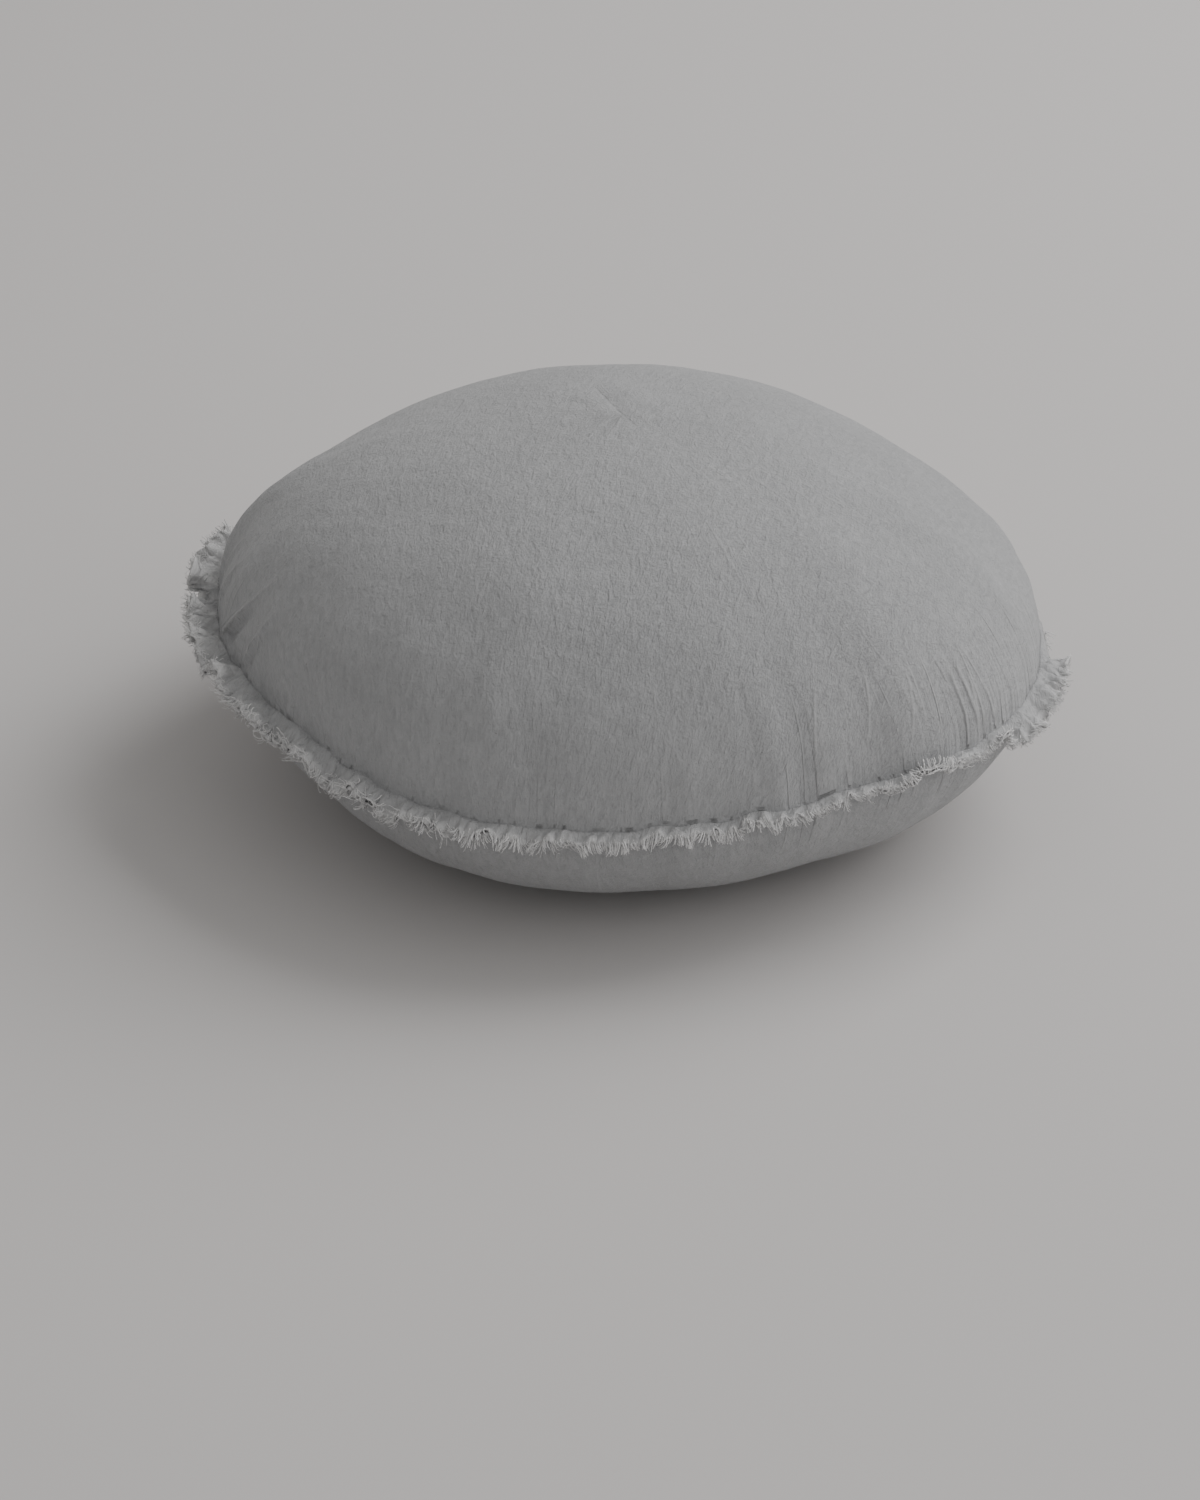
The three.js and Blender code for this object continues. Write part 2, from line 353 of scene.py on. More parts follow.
def new_piece(name, vertices, faces, material, attributes=()):
    """A smooth-shaded piece whose vertices carry the named attributes: vectors of three or single values."""
    mesh = bpy.data.meshes.new(name)
    mesh.from_pydata(vertices.tolist(), [], faces.tolist())
    for label, values in dict(attributes).items():
        write_attribute(mesh, label, values)
    return shown(name, mesh, material)


def as_floats(values):
    return np.ascontiguousarray(values, np.float32).ravel()


def write_attribute(mesh, label, values):
    kind = "FLOAT_VECTOR" if values.ndim == 2 else "FLOAT"
    field = "vector" if values.ndim == 2 else "value"
    mesh.attributes.new(label, kind, "POINT").data.foreach_set(field, as_floats(values))


def write_points(mesh, points):
    mesh.vertices.foreach_set("co", as_floats(points))
    mesh.update()


def read_vectors(mesh, rows):
    """One vector for each vertex of a mesh, as rows of three numbers."""
    values = np.empty(len(mesh.vertices) * 3, np.float32)
    rows.foreach_get("vector", values)
    return values.reshape(-1, 3).astype(float)


def read_points(mesh):
    return read_vectors(mesh, mesh.attributes["position"].data)


def shown(name, mesh, material):
    mesh.materials.clear()
    if material:
        mesh.materials.append(material)
    mesh.shade_smooth()
    piece = bpy.data.objects.new(name, mesh)
    bpy.context.scene.collection.objects.link(piece)
    return piece


def finished(piece):
    """The piece's mesh with its modifiers applied, as a mesh of its own."""
    graph = bpy.context.evaluated_depsgraph_get()
    return bpy.data.meshes.new_from_object(piece.evaluated_get(graph))


def unit(vectors):
    return vectors / np.maximum(np.linalg.norm(vectors, axis=-1, keepdims=True), TINY)


# The filled body's shape. SINK_SCALE makes the curve of the flank's sink 1 at its highest.
SLACK = 0.04
SLACK_HUG = 14
SINK_SCALE = 27 / 4


def panel_grid():
    """A square grid bent into a disc. Each square ring of the grid becomes a round one: the first array is
    its share of the way out, and the second its angle, an eighth of a turn for each half side. The third
    says which vertices lie inside the rim."""
    line = np.linspace(-1, 1, PANEL_QUADS + 1)
    u, v = np.meshgrid(line, line, indexing="ij")
    ring = np.maximum(np.abs(u), np.abs(v))
    sideways = np.abs(u) >= np.abs(v)
    by_u = math.pi / 4 * v / np.where(u == 0, 1, u)
    by_v = math.pi / 2 - math.pi / 4 * u / np.where(v == 0, 1, v)
    lead = np.where(sideways, u, v)
    turn = np.where(sideways, by_u, by_v) + np.where(lead < 0, math.pi, 0)
    share = (ring * (1 + RIM_FINER - RIM_FINER * ring)).ravel()
    return share, np.degrees(turn).ravel(), share < 1 - TINY


def panel_profile(flat_radius, drop):
    """The section of a filled panel from its middle: level out to flat_radius, then a quarter ellipse that
    is upright at the seam. Gives how far out and how far from the middle's height it is."""
    turn = np.linspace(0, math.pi / 2, PROFILE_STEPS)
    out = flat_radius + (SEAM_RADIUS - flat_radius) * np.sin(turn)
    away = drop * (1 - np.cos(turn))
    return np.insert(out, 0, 0.0), np.insert(away, 0, 0.0)


def slack_profile(out, away):
    """The same section cut wider towards the seam, at the same length: the cloth there is too wide for the
    seam, so it puckers."""
    run = section_run(out, away)
    wide = out * (1 + SLACK * (run / run[-1]) ** SLACK_HUG)
    rises = np.sqrt(np.maximum(np.diff(run) ** 2 - np.diff(wide) ** 2, 0))
    return wide, np.insert(np.cumsum(rises), 0, 0.0)


def section_run(out, away):
    return np.insert(np.cumsum(np.hypot(np.diff(out), np.diff(away))), 0, 0.0)


def along_section(out, away, share):
    """Where a section is, at a share of its length."""
    run = section_run(out, away)
    return np.interp(share * run[-1], run, out), np.interp(share * run[-1], run, away)


def panel_points(section, share, degrees, upper):
    """A panel's vertices from its section turned about the upright axis, then moved to the seam's own line.
    With t the share of the seam's radius, the crown's lift grows as t³, its flank sinks as t⁴ (1 - t²), and
    it leans as 1 - t²."""
    out, away = along_section(*section, share)
    inwards = out / SEAM_RADIUS
    radius = out + (seam_radius(degrees, inwards) - SEAM_RADIUS) * inwards
    lift = seam_lift(degrees, inwards)
    if upper:
        sink = around(SEAM_LINE, "sink", degrees) * SINK_SCALE * inwards ** 4 * (1 - inwards ** 2)
        height = SEAM_HEIGHT + CROWN_HEIGHT - away + lift * inwards ** 3 - sink
    else:
        height = away * (1 + lift / SEAM_HEIGHT)
    points = polar(radius, np.radians(degrees), height)
    if upper:
        points[:, 0] += CROWN_LEAN * (1 - inwards ** 2)
    return points


def body_shape(slack):
    """Vertices of the upper panel, and then of the lower panel inside their common rim."""
    share, degrees, inner = panel_grid()
    upper = panel_profile(0.0, CROWN_HEIGHT)
    lower = panel_profile(REST_RADIUS, SEAM_HEIGHT)
    if slack:
        upper = slack_profile(*upper)
        lower = slack_profile(*lower)
    top = panel_points(upper, share, degrees, True)
    under = panel_points(lower, share, degrees, False)
    under[:, 2] += top[~inner, 2].mean() - under[~inner, 2].mean()
    return np.concatenate([top, under[inner]])


def body_faces():
    """The upper panel's squares, and then the lower panel's, which face the other way."""
    _, _, inner = panel_grid()
    side = PANEL_QUADS + 1
    top = np.arange(side * side)
    under = top.copy()
    under[inner] = side * side + np.arange(inner.sum())
    panels = []
    for numbers in (top, under):
        grid = numbers.reshape(side, side)
        squares = np.stack([grid[:-1, :-1], grid[1:, :-1], grid[1:, 1:], grid[:-1, 1:]], -1)
        panels.append(squares.reshape(-1, 4))
    return np.concatenate([panels[0], panels[1][:, ::-1]])


def body_cloth():
    """Each vertex's share of the way out, its angle, and where it lies in the flat cloth, with the side
    that it is on as its height: 1 upper, -1 lower, 0 seam."""
    share, degrees, inner = panel_grid()
    side = np.concatenate([np.where(inner, 1.0, 0.0), np.full(inner.sum(), -1.0)])
    share = np.concatenate([share, share[inner]])
    degrees = np.concatenate([degrees, degrees[inner]])
    return share, degrees, polar(share * SEWN_RADIUS, np.radians(degrees), side)


# The cloth blown out by its filling
CLOTH_FRAMES = 18
CLOTH_SETTINGS = {
    "quality": 5,
    "mass": 0.001,
    "tension_stiffness": 15,
    "compression_stiffness": 15,
    "shear_stiffness": 5,
    "bending_stiffness": 0.1,
    "use_pressure": True,
    "uniform_pressure_force": 4,
}
START_RIPPLE = 0.0004
START_COUNTS = range(60, 171, 5)
START_SHARE = 0.94
START_SPREAD = 0.06
START_RISE = 0.1
MOST_MOVE = 0.0006
FLOOR_TOUCH = 0.000001
SOFTENINGS = 2


def blown_out(piece, held, cut):
    """The piece's mesh after CLOTH_FRAMES frames as cloth of its cut shape, with pressure inside."""
    cloth = piece.modifiers.new("cloth", "CLOTH")
    for name, value in CLOTH_SETTINGS.items():
        setattr(cloth.settings, name, value)
    cloth.settings.vertex_group_mass = held.name
    cloth.settings.rest_shape_key = cut
    cloth.settings.effector_weights.gravity = 0
    cloth.collision_settings.use_collision = False
    cloth.collision_settings.use_self_collision = False
    cloth.point_cache.frame_end = CLOTH_FRAMES
    for step in range(1, CLOTH_FRAMES + 1):
        bpy.context.scene.frame_set(step)
    return finished(piece)


def settled(points, share, degrees, side):
    """The body's cloth, cut wider towards the seam and blown out against the seam and the rest. A small
    ripple near the seam starts its flutes. Each vertex moves by MOST_MOVE at the most."""
    seam_or_rest = (side == 0) | ((side < 0) & (points[:, 2] < FLOOR_TOUCH))
    outwards = unit(np.stack([points[:, 0], points[:, 1], START_RISE * side], -1))
    near = bell((share - START_SHARE) / START_SPREAD) * (side != 0)
    start = START_RIPPLE * ripple(degrees, START_COUNTS, SEEDS["first ripple"]) * near
    piece = new_piece("cushion_cloth", points + outwards * start[:, None], body_faces(), None)
    piece.shape_key_add(name="sewn")
    cut = piece.shape_key_add(name="cut")
    cut.data.foreach_set("co", as_floats(body_shape(True)))
    held = piece.vertex_groups.new(name="held")
    held.add(np.flatnonzero(seam_or_rest).tolist(), 1.0, "REPLACE")
    mesh = blown_out(piece, held, cut)
    moved = read_points(mesh) - points
    bpy.data.objects.remove(piece)
    bpy.data.meshes.remove(mesh)
    bpy.context.scene.frame_set(1)
    size = np.maximum(np.linalg.norm(moved, axis=1, keepdims=True), TINY)
    return points + moved * MOST_MOVE / size * np.tanh(size / MOST_MOVE)


def softened(points, cloth):
    """The body's mesh, smoothed a little and subdivided once."""
    rough = new_piece("cushion_rough", points, body_faces(), None, {"cloth": cloth})
    softer = rough.modifiers.new("softer", "SMOOTH")
    softer.iterations = SOFTENINGS
    finer = rough.modifiers.new("finer", "SUBSURF")
    finer.levels = finer.render_levels = 1
    mesh = finished(rough)
    bpy.data.objects.remove(rough)
    return mesh


# Creases, puckers and swells of the cover. The puckers' lengths and depths vary as shares of the edge's own
# values, and SWELLS and CRUMPLES are wavelengths.
PUCKER_COUNT = 130
PUCKER_ZONE = 0.6
PUCKER_JITTER = 0.45
PUCKER_LENGTHS = (0.5, 1.4)
PUCKER_DEPTHS = (0.3, 1.3)
PUCKER_WIDTH = (0.0017, 0.0032)
PUCKER_SLANT = 0.45
BESIDE_HEIGHT = 0.45
BESIDE_WIDTH = 2.2
UNDER_PUCKER = 2.0
PULL_REACH = 2.2
SWELLS = (0.055, 0.062, 0.071, 0.083, 0.096, 0.110, 0.128)
SWELL_HEIGHT = 0.00035
CRUMPLES = (0.013, 0.015, 0.017, 0.020, 0.023, 0.027, 0.031)
CRUMPLE_HEIGHT = 0.00007
LOOSE_SHARE = 0.9
SEAM_CALM = 0.0045
FLARE = 0.0005
FLARE_WIDTH = 0.0016
FLOOR_NEAR = 0.002


def crease_relief(x, y):
    """The main creases: each a line bowed as 4t (1 - t), with a rounded section that fades at its ends."""
    relief = np.zeros_like(x)
    for crease in CREASES:
        along_x = crease["to_x"] - crease["from_x"]
        along_y = crease["to_y"] - crease["from_y"]
        length = math.hypot(along_x, along_y)
        share = ((x - crease["from_x"]) * along_x + (y - crease["from_y"]) * along_y) / length ** 2
        aside = ((y - crease["from_y"]) * along_x - (x - crease["from_x"]) * along_y) / length
        aside = aside - crease["bow"] * 4 * share * (1 - share)
        ends = eased(share / crease["fade_in"]) * eased((1 - share) / crease["fade_out"])
        relief += crease["height"] * bell(aside / crease["width"]) * ends
    return relief


def pucker_relief(x, y, seed):
    """The puckers that the seam pulls into a panel: each is a trough that starts at the seam and fades out
    as it runs in, with a low ridge on either side."""
    draw = np.random.default_rng(seed)
    relief = np.zeros_like(x)
    flat = np.hypot(x, y)
    degrees = np.degrees(np.arctan2(y, x))
    near = flat > SEWN_RADIUS * PUCKER_ZONE
    flat = flat[near]
    degrees = degrees[near]
    inwards = SEWN_RADIUS - flat
    for number in range(PUCKER_COUNT):
        centre = (number + draw.uniform(-PUCKER_JITTER, PUCKER_JITTER)) * 360 / PUCKER_COUNT
        length = around(EDGE, "run", centre) * draw.uniform(*PUCKER_LENGTHS)
        depth = around(EDGE, "pucker", centre) * draw.uniform(*PUCKER_DEPTHS)
        width = draw.uniform(*PUCKER_WIDTH)
        slant = draw.uniform(-PUCKER_SLANT, PUCKER_SLANT)
        aside = (np.mod(degrees - centre + 180, 360) - 180) * math.pi / 180 * flat - slant * inwards
        spread = width * (1 + inwards / length)
        section = bell(aside / spread) - BESIDE_HEIGHT * bell(aside / (BESIDE_WIDTH * spread))
        relief[near] -= depth * section * (1 - eased(inwards / length))
    return relief


def cover_relief(x, y, upper):
    """How far the cover stands out from its softened cloth. Next to the seam it doesn't, and the swells and
    crumples die out a little before it."""
    relief = np.where(upper, crease_relief(x, y), 0)
    puckers = {side: pucker_relief(x, y, seed) for side, seed in SEEDS["puckers"].items()}
    relief += np.where(upper, puckers[1], UNDER_PUCKER * puckers[-1])
    flat = np.hypot(x, y)
    loose = 1 - eased((flat - LOOSE_SHARE * SEWN_RADIUS) / ((1 - LOOSE_SHARE) * SEWN_RADIUS))
    relief += loose * SWELL_HEIGHT * swell(x, y, SWELLS, SEEDS["swells"])
    relief += loose * CRUMPLE_HEIGHT * swell(x, y, CRUMPLES, SEEDS["crumples"])
    return relief * (1 - bell((SEWN_RADIUS - flat) / SEAM_CALM))


def seam_pull(x, y):
    """How strongly the seam wrinkles the cloth: 0 well inside a panel, and about 1 where it pulls most."""
    degrees = np.degrees(np.arctan2(y, x))
    inwards = SEWN_RADIUS - np.hypot(x, y)
    reach = around(EDGE, "run", degrees) * PULL_REACH
    return around(EDGE, "wrinkle", degrees) * (1 - eased(inwards / reach))


def cushion_cover(material):
    """The two sewn panels round their filling: the settled and softened cloth with its relief, and the flare
    with which it turns out into its margin."""
    share, degrees, cloth = body_cloth()
    points = body_shape(False)
    points = settled(points, share, degrees, cloth[:, 2])
    mesh = softened(points, cloth)
    points = read_points(mesh)
    x, y, side = read_vectors(mesh, mesh.attributes["cloth"].data).T
    upper = side > 0
    resting = ~upper & (points[:, 2] < FLOOR_NEAR)
    relief = cover_relief(x, y, upper) * ~resting
    points += read_vectors(mesh, mesh.vertex_normals) * relief[:, None]
    flare = FLARE * bell((SEWN_RADIUS - np.hypot(x, y)) / FLARE_WIDTH)
    points += unit(points * [1, 1, 0]) * flare[:, None]
    points[:, 2] = np.maximum(points[:, 2], 0)
    write_points(mesh, points)
    write_attribute(mesh, "pull", seam_pull(x, y))
    return shown("cushion_cover", mesh, material)


# The raw margins. The powers say how soon each thing grows on the way out from the seam.
TUCK = 0.003
SEAM_HOLD = 0.0015
PLY_THICKNESS = 0.0006
PLY_GAP = 0.0008
RUFFLE_COUNTS = range(40, 110, 4)
RUFFLE_POWER = 0.3
CRIMP_COUNTS = range(150, 360, 13)
CRIMP_SWING = 3.0
OWN_SWING = 4.0
PART_POWER = 0.5
CURL_POWER = 1.5
FOLD_OVER = 0.9
LEVEL_SPAN = 9
EDGE_COUNTS = range(60, 300, 11)
EDGE_WANDER = 0.0006
RUMPLES = (0.0060, 0.0070, 0.0082, 0.0096, 0.0115, 0.0140, 0.0170)
RUMPLE_HEIGHT = 0.0010
RUMPLE_START = 0.15
RUMPLE_POWER = 0.5
# How much paler a margin is painted where it stands up: painted light
STANDING_LIGHT = 1.17


def ply_slope(side, degrees, past):
    """How steeply a ply heads up or down on its way out, in degrees: the slope and curl of its fold, its
    small ruffles and crimps, and its share of the parting of the plies."""
    ruffle = around(EDGE, "ruffle", degrees) * ripple(degrees, RUFFLE_COUNTS, SEEDS["ruffles"])
    crimp = CRIMP_SWING * ripple(degrees, CRIMP_COUNTS, SEEDS["crimps"])
    own = OWN_SWING * np.abs(ripple(degrees, RUFFLE_COUNTS, SEEDS["own ruffles"][side]))
    along = degrees - around(EDGE, "slant", degrees) * past
    part = side * (around(FOLDS, "part", along) / 2 + own) * past ** PART_POWER
    slope = around(FOLDS, "slope", along) + (ruffle + crimp) * past ** RUFFLE_POWER
    return slope + around(FOLDS, "curl", along) * past ** CURL_POWER + part


def ply_grid(side):
    """Points of one ply: a row for each step around and a column for each share of the way from the seam to
    the end of the weave. A line of cloth adds up its steps out and up at the ply's slope, so the cloth
    keeps its width. Then each point slides along the seam against the height of its wave times the wave's
    slope, which turns steep waves into rounded folds."""
    degrees = np.arange(MARGIN_STEPS)[:, None] * 360 / MARGIN_STEPS
    share = np.linspace(0, 1, MARGIN_ROWS)[None, :]
    weave = around(EDGE, "weave", degrees) + EDGE_WANDER * ripple(degrees, EDGE_COUNTS, SEEDS["edge"][side])
    out = share * (weave + TUCK) - TUCK
    past = np.clip(out / weave, 0, 1)
    heading = np.radians(ply_slope(side, degrees, past) * eased(out / SEAM_HOLD))
    step = (weave + TUCK) / (MARGIN_ROWS - 1)
    run = np.cumsum(np.cos(heading) * step, axis=1) - np.cos(heading) * step / 2
    climb = np.cumsum(np.sin(heading) * step, axis=1) - np.sin(heading) * step / 2
    radius = seam_radius(degrees) - TUCK + run
    wave = climb - smoothed(climb)
    ahead = np.roll(wave, -1, axis=0) - np.roll(wave, 1, axis=0)
    slope = ahead / (2 * np.radians(360 / MARGIN_STEPS) * radius)
    slide = -FOLD_OVER * wave * slope
    flat = polar(SEWN_RADIUS + out, np.radians(degrees), 0)
    rumple = swell(flat[..., 0], flat[..., 1], RUMPLES, SEEDS["rumples"])
    height = SEAM_HEIGHT + seam_lift(degrees) + climb + side * PLY_GAP / 2
    height = height + RUMPLE_HEIGHT * rumple * eased(past / RUMPLE_START) * past ** RUMPLE_POWER
    return polar(radius, np.radians(degrees) + slide / radius, height)


def smoothed(rows):
    """Rows around the cushion averaged over LEVEL_SPAN degrees either way, with a rounded weight."""
    reach = int(LEVEL_SPAN * MARGIN_STEPS / 360)
    offsets = np.arange(-reach, reach + 1)
    weights = 1 - (offsets / (reach + 1)) ** 2
    total = sum(weight * np.roll(rows, offset, axis=0) for weight, offset in zip(weights, offsets))
    return total / weights.sum()


def on_ply(grid, degrees, share):
    """Points of a ply between those of its grid."""
    row = np.mod(degrees, 360) * MARGIN_STEPS / 360
    column = np.clip(share, 0, 1) * (MARGIN_ROWS - 1)
    low_row = np.floor(row).astype(int)
    low_column = np.minimum(np.floor(column).astype(int), MARGIN_ROWS - 2)
    by_row = (row - low_row)[..., None]
    by_column = (column - low_column)[..., None]
    low_row = low_row % MARGIN_STEPS
    next_row = (low_row + 1) % MARGIN_STEPS
    inner = grid[low_row, low_column] * (1 - by_row) + grid[next_row, low_column] * by_row
    outer = grid[low_row, low_column + 1] * (1 - by_row) + grid[next_row, low_column + 1] * by_row
    return inner * (1 - by_column) + outer * by_column


def margin(name, side, material):
    """One ply of the raw margin: a strip around the seam, thickened to the cloth's own thickness. Where it
    stands up, it is painted paler: painted light for the light that standing cloth catches and lets through."""
    grid = ply_grid(side)
    numbers = np.arange(MARGIN_STEPS * MARGIN_ROWS).reshape(MARGIN_STEPS, MARGIN_ROWS)
    after = np.roll(numbers, -1, axis=0)
    faces = np.stack([numbers[:, :-1], numbers[:, 1:], after[:, 1:], after[:, :-1]], -1).reshape(-1, 4)
    if side < 0:
        faces = faces[:, ::-1]
    turn = np.radians(np.repeat(np.arange(MARGIN_STEPS) * 360 / MARGIN_STEPS, MARGIN_ROWS))
    raw = np.tile(np.linspace(0, 1, MARGIN_ROWS), MARGIN_STEPS)
    cloth = polar(SEWN_RADIUS + (CUT_WEAVE_RADIUS - SEWN_RADIUS) * raw, turn, side)
    # Painted light: the more the ply stands up, the paler it is painted
    stand = (grid[:, -1, 2] - grid[:, 0, 2]) / (CUT_WEAVE_RADIUS - SEWN_RADIUS)
    standing_light = np.repeat(STANDING_LIGHT * np.clip(stand, 0, 1), MARGIN_ROWS)
    attributes = {"cloth": cloth, "raw": raw, "standing_light": standing_light}
    piece = new_piece(name, grid.reshape(-1, 3), faces, material, attributes)
    thick = piece.modifiers.new("thickness", "SOLIDIFY")
    thick.thickness = PLY_THICKNESS
    thick.offset = 0
    return piece


# The fray. A pair of values is the range of shares from which each thread or tuft draws its own. Leans,
# bends and rolls are in radians. A thread takes its way out from the weave past OUT_FROM of the margin's
# width, and its way along the edge from BESIDE_STEP degrees to either side.
THREAD_COUNT = 2000
THREAD_POINTS = 12
THREAD_SIDES = 4
THREAD_RADIUS = 0.00028
THREAD_GIRTHS = (0.7, 1.2)
THREAD_TIP = 0.8
THREAD_JITTER = 0.5
THREAD_LENGTHS = (0.92, 1.04)
ROOT_SHARES = (0.70, 1.0)
OUT_FROM = 0.84
BESIDE_STEP = 0.3
PLY_FACE = 0.8
CRIMP_PITCH = 0.0017
CRIMP_PITCHES = (0.8, 1.2)
CRIMP_RADIUS = 0.00012
TUFT_COUNT = 850
TUFT_JITTER = 0.25
TUFT_PULL = 1.0
TUFT_LENGTHS = (0.88, 1.10)
GRAIN_LEAN = 0.15
LEAN_COUNTS = range(30, 120, 7)
LEAN = 0.25
OWN_LEAN = 0.06
BEND_COUNTS = range(10, 100, 6)
BEND = 1.2
ROLL = 0.5
OWN_BEND = 0.14


def thread_starts(grid, degrees, root_share):
    """Where each thread leaves the weave, and its ways out of it, along the edge and up from the ply."""
    ones = np.ones(THREAD_COUNT)
    root = on_ply(grid, degrees, root_share)
    out = unit(on_ply(grid, degrees, ones) - on_ply(grid, degrees, OUT_FROM * ones))
    beside = unit(on_ply(grid, degrees + BESIDE_STEP, ones) - on_ply(grid, degrees - BESIDE_STEP, ones))
    above = unit(np.cross(out, beside))
    return root, out, beside, above * np.sign(above[:, 2:] + TINY)


def grain_slants(draw, turn):
    """How far each thread's grain slants to the edge: it is warp or weft, and warp the likelier, the more
    squarely the warp crosses the edge."""
    is_warp = draw.uniform(0, 1, THREAD_COUNT) < np.sin(turn) ** 2
    warp = -np.cos(turn) * np.sign(np.sin(turn))
    return np.where(is_warp, warp, np.sin(turn) * np.sign(np.cos(turn)))


def tufts(draw):
    """The number of each thread's tuft, and how far the thread starts from its tuft's middle."""
    place = np.arange(THREAD_COUNT) * TUFT_COUNT / THREAD_COUNT
    tuft = np.floor(place + draw.uniform(-TUFT_JITTER, TUFT_JITTER, THREAD_COUNT)).astype(int) % TUFT_COUNT
    off_middle = (place - tuft - 0.5 + TUFT_COUNT / 2) % TUFT_COUNT - TUFT_COUNT / 2
    return tuft, off_middle * math.tau * SEAM_RADIUS / TUFT_COUNT


def each(values):
    """One value for each thread, to combine with its points."""
    return values[:, None, None]


def thread_lengths(draw, degrees, root_share, tuft):
    """How long each thread is from where it leaves the weave."""
    length = around(EDGE, "thread", degrees) * draw.uniform(*TUFT_LENGTHS, TUFT_COUNT)[tuft]
    length = length * draw.uniform(*THREAD_LENGTHS, THREAD_COUNT)
    return length + (1 - root_share) * around(EDGE, "weave", degrees)


def thread_turns(draw, degrees, slant, off_middle, length):
    """How far each thread leans sideways from its root, bends sideways by its end, and rolls up by it."""
    curl = around(EDGE, "curl", degrees)
    lean = around(EDGE, "lean", degrees) + GRAIN_LEAN * slant - TUFT_PULL * off_middle / length
    lean = lean + LEAN * ripple(degrees, LEAN_COUNTS, SEEDS["leans"])
    lean = lean + OWN_LEAN * draw.normal(0, 1, THREAD_COUNT)
    bend = BEND * ripple(degrees, BEND_COUNTS, SEEDS["bends"]) + OWN_BEND * draw.normal(0, 1, THREAD_COUNT)
    roll = ROLL * ripple(degrees, BEND_COUNTS, SEEDS["rolls"]) + OWN_BEND * draw.normal(0, 1, THREAD_COUNT)
    return lean, curl * bend, around(EDGE, "roll", degrees) + curl * roll


def crimped(draw, path, beside, above, length, run):
    """The threads' paths with the crimp that the weave left in them."""
    waves = each(length / CRIMP_PITCH * draw.uniform(*CRIMP_PITCHES, THREAD_COUNT)) * run
    phase = each(draw.uniform(0, math.tau, THREAD_COUNT))
    path = path + beside[:, None] * np.cos(math.tau * waves + phase) * CRIMP_RADIUS
    return path + above[:, None] * np.sin(math.tau * waves + phase) * CRIMP_RADIUS


def fray(name, side, material):
    """The loose threads along one ply's raw edge. Each runs on from the weave along the cloth's own grain,
    is drawn to the middle of its tuft, bends steadily sideways and rolls up or down much as its neighbours
    do, and keeps its crimp."""
    draw = np.random.default_rng(SEEDS["threads"][side])
    jitter = draw.uniform(-THREAD_JITTER, THREAD_JITTER, THREAD_COUNT)
    degrees = (np.arange(THREAD_COUNT) + jitter) * 360 / THREAD_COUNT
    turn = np.radians(degrees)
    root_share = draw.uniform(*ROOT_SHARES, THREAD_COUNT)
    root, out, beside, above = thread_starts(ply_grid(side), degrees, root_share)
    slant = grain_slants(draw, turn)
    tuft, off_middle = tufts(draw)
    length = thread_lengths(draw, degrees, root_share, tuft)
    lean, bend, roll = thread_turns(draw, degrees, slant, off_middle, length)

    run = np.linspace(0, 1, THREAD_POINTS)[None, :, None]
    sway = each(lean) + each(bend) * run
    lift = each(roll) * run
    level = out[:, None] * np.cos(sway) + beside[:, None] * np.sin(sway)
    heading = level * np.cos(lift) + above[:, None] * np.sin(lift)
    path = root[:, None] + np.cumsum(heading, axis=1) * each(length / (THREAD_POINTS - 1))
    path = path + above[:, None] * (side * PLY_THICKNESS * PLY_FACE)
    path = crimped(draw, path, beside, above, length, run)

    girth = each(draw.uniform(*THREAD_GIRTHS, THREAD_COUNT))
    radius = THREAD_RADIUS * (1 - (1 - THREAD_TIP) * run) * girth
    flat = np.linspace(CUT_WEAVE_RADIUS, CUT_RADIUS, THREAD_POINTS)
    cloth = polar(flat, turn[:, None], side).reshape(-1, 3)
    shade = np.repeat(draw.uniform(0, 1, THREAD_COUNT), THREAD_POINTS * THREAD_SIDES)
    points, faces = tubes(path, beside, above, radius, THREAD_SIDES)
    attributes = {"cloth": np.repeat(cloth, THREAD_SIDES, 0), "shade": shade}
    return new_piece(name, points, faces, material, attributes)


def tubes(path, across, up, radius, sides):
    """Tubes along many paths: a ring of points about each point of each path, joined ring to ring."""
    count, steps, _ = path.shape
    turn = np.arange(sides) * math.tau / sides
    ring = across[:, None, None] * np.cos(turn)[:, None] + up[:, None, None] * np.sin(turn)[:, None]
    points = path[:, :, None] + ring * radius[:, :, None]
    first = (np.arange(count)[:, None, None] * steps + np.arange(steps - 1)[:, None]) * sides
    corner = np.arange(sides)
    after = (corner + 1) % sides
    walls = np.stack([first + corner, first + after, first + after + sides, first + corner + sides], -1)
    return points.reshape(-1, 3), walls.reshape(-1, 4)


# The seam's stitches
STITCH_COUNT = 470
STITCH_POINTS = 5
STITCH_SIDES = 5
STITCH_RADIUS = 0.00022
STITCH_FILL = 0.72
STITCH_OUT = -0.0002
STITCH_BOW = 1.6
STITCH_BITE = 0.4


